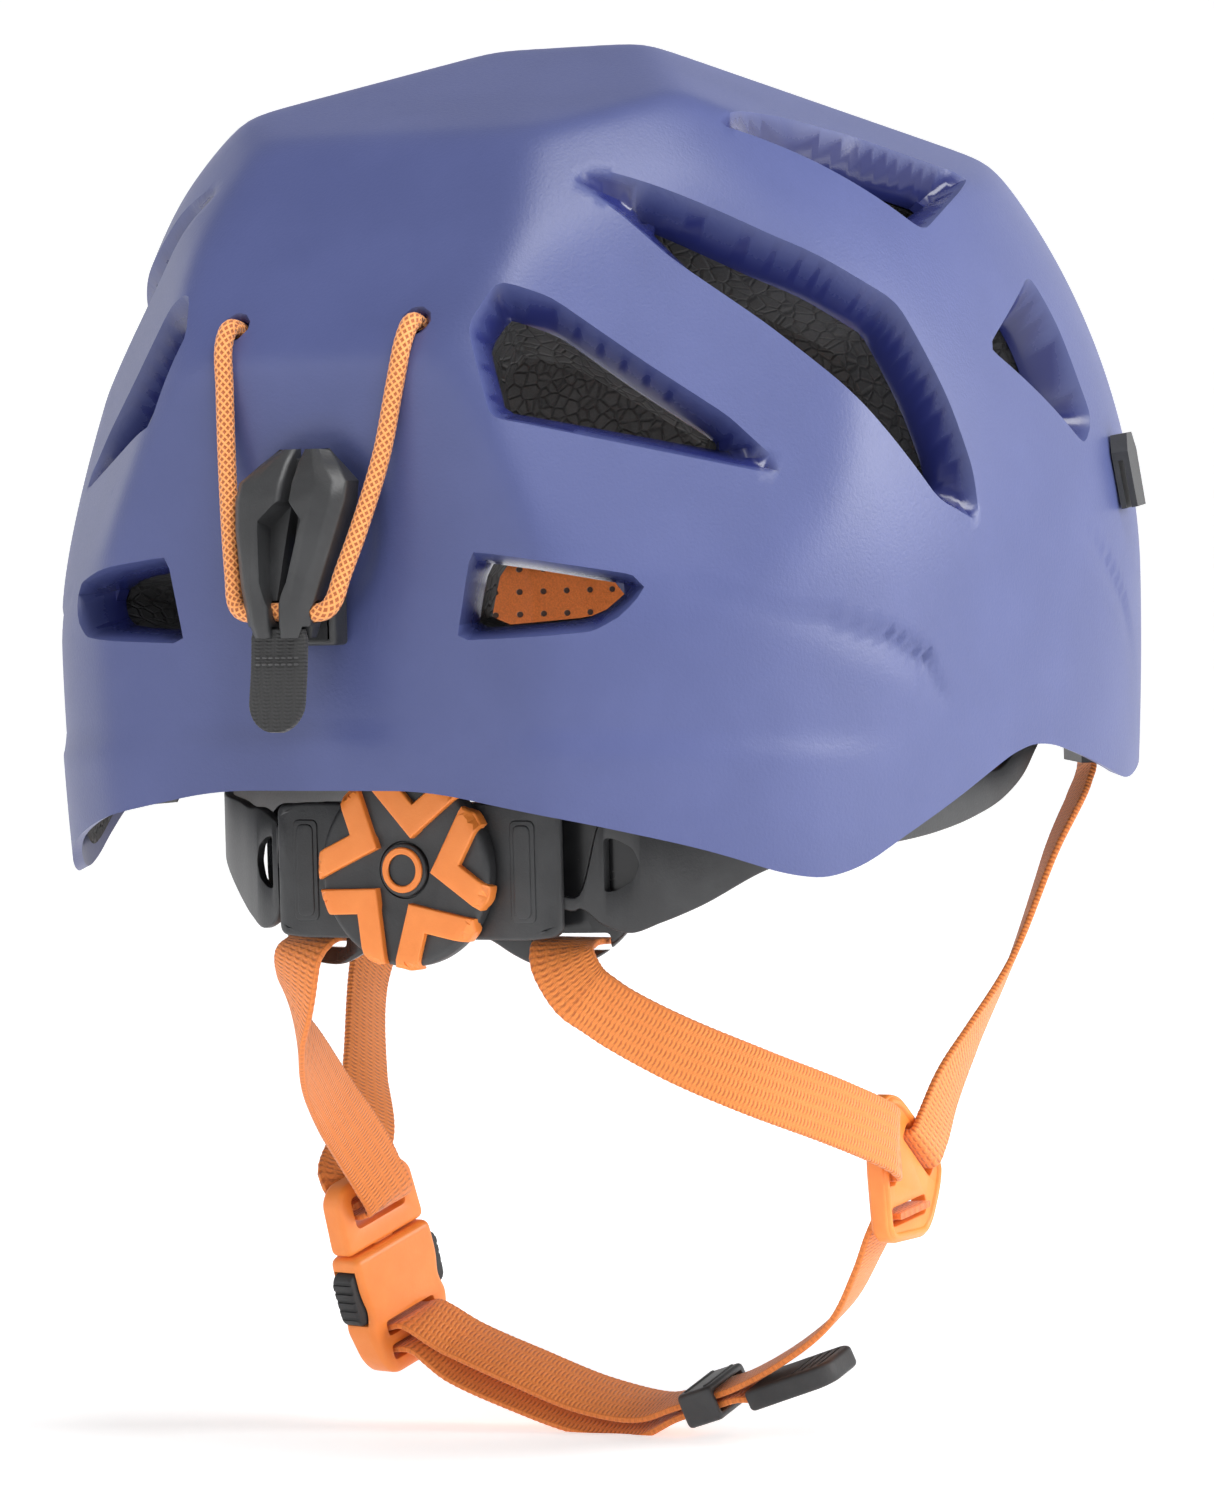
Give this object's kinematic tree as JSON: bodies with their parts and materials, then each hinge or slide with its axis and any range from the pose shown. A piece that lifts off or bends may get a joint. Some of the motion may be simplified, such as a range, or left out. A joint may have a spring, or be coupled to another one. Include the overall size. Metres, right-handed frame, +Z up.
{
  "type": "climbing helmet",
  "caption": "Hard-shell climbing helmet with foam liner, vents, nape cradle with a geared size dial, Y-straps with a side-release buckle, and a rear lamp-strap hook on elastic cord.",
  "frame": {"origin": "middle of the headband plane, inside the head cavity: the head mount", "axes": "+Z up towards the crown, -Y forwards over the brow, +X towards the wearer's left"},
  "size_m": [0.2238, 0.2924, 0.3184],
  "materials": {
    "shell_blue": "satin indigo with a fine grain",
    "foam_grey": "dark grey bead foam",
    "plastic_black": "black moulded plastic, satin",
    "plastic_orange": "satin orange moulded plastic",
    "webbing_orange": "orange woven webbing",
    "webbing_black": "black woven webbing",
    "pad_orange": "orange perforated comfort padding",
    "rubber_black": "soft black rubber",
    "cord_orange": "orange braided elastic cord"
  },
  "bodies": {
    "shell": {"outer_shell": "shell_blue", "eps_liner": "foam_grey", "brow_pad": "pad_orange", "left_temple_pin": "plastic_black", "right_temple_pin": "plastic_black", "left_front_strap": "webbing_orange", "right_front_strap": "webbing_orange", "left_strap_anchor": "plastic_black", "right_strap_anchor": "plastic_black", "left_rear_strap": "webbing_orange", "right_rear_strap": "webbing_orange", "lamp_cord": "cord_orange", "hook_base": "plastic_black", "left_front_clip": "plastic_black", "right_front_clip": "plastic_black", "buckle_male": "plastic_orange", "chin_strap": "webbing_orange", "end_tab": "rubber_black", "strap_divider": "plastic_orange"},
    "cradle": {"nape_yoke": "plastic_black", "nape_pad": "rubber_black", "housing_base": "plastic_black", "housing_cover": "plastic_black", "left_arm": "plastic_black", "right_arm": "plastic_black"},
    "dial": {"pinion": "plastic_black", "dial_knob": "plastic_black", "dial_grip": "plastic_orange", "dial_cap": "plastic_orange"},
    "left_rack_slide": {"left_rack": "plastic_black"},
    "right_rack_slide": {"right_rack": "plastic_black"},
    "hook": {"lamp_hook": "plastic_black", "pull_tab": "webbing_black"},
    "buckle_socket": {"buckle_female": "plastic_orange"},
    "rear_lever": {"rear_release_lever": "rubber_black"},
    "front_lever": {"front_release_lever": "rubber_black"},
    "keeper": {"strap_keeper": "plastic_black"}
  },
  "joints": [
    {"name": "cradle_tilt", "type": "hinge", "parent": "shell", "child": "cradle", "pos_m": [0, -0.046, -0.031], "axis": [1, 0, 0], "range_deg": [-10, 24], "deforming": ["left_rear_strap", "right_rear_strap"]},
    {"name": "dial_turn", "type": "hinge", "parent": "cradle", "child": "dial", "pos_m": [0, 0.0938, -0.0595], "axis": [0, 1, 0], "range_deg": [-144, 120]},
    {"name": "left_rack_travel", "type": "slide", "parent": "cradle", "child": "left_rack_slide", "axis": [1, 0, 0], "range_m": [-0.0122, 0.0102], "deforming": ["left_arm"]},
    {"name": "right_rack_travel", "type": "slide", "parent": "cradle", "child": "right_rack_slide", "axis": [-1, 0, 0], "range_m": [-0.0122, 0.0102], "deforming": ["right_arm"]},
    {"name": "hook_pull", "type": "slide", "parent": "shell", "child": "hook", "axis": [0, 0.3489, -0.9371], "range_m": [0, 0.008], "stiffness_N_per_m": 250, "springref_m": -0.003, "deforming": ["lamp_cord"]},
    {"name": "buckle_release", "type": "slide", "parent": "shell", "child": "buckle_socket", "axis": [-0.0658, -0.2849, -0.9563], "range_m": [0, 0.025], "deforming": ["chin_strap"]},
    {"name": "rear_lever_press", "type": "slide", "parent": "buckle_socket", "child": "rear_lever", "axis": [-0.2151, -0.9318, 0.2924], "range_m": [0, 0.0015], "stiffness_N_per_m": 600, "springref_m": -0.0005},
    {"name": "front_lever_press", "type": "slide", "parent": "buckle_socket", "child": "front_lever", "axis": [0.2151, 0.9318, -0.2924], "range_m": [0, 0.0015], "stiffness_N_per_m": 600, "springref_m": -0.0005},
    {"name": "keeper_slide", "type": "slide", "parent": "shell", "child": "keeper", "axis": [-0.9498, -0.0204, 0.3121], "range_m": [-0.004, 0.004]}
  ],
  "couplings": [
    {"joint": "left_rack_travel", "follows": "dial_turn", "m_per_rad": 0.0047746},
    {"joint": "right_rack_travel", "follows": "dial_turn", "m_per_rad": 0.0047746}
  ]
}
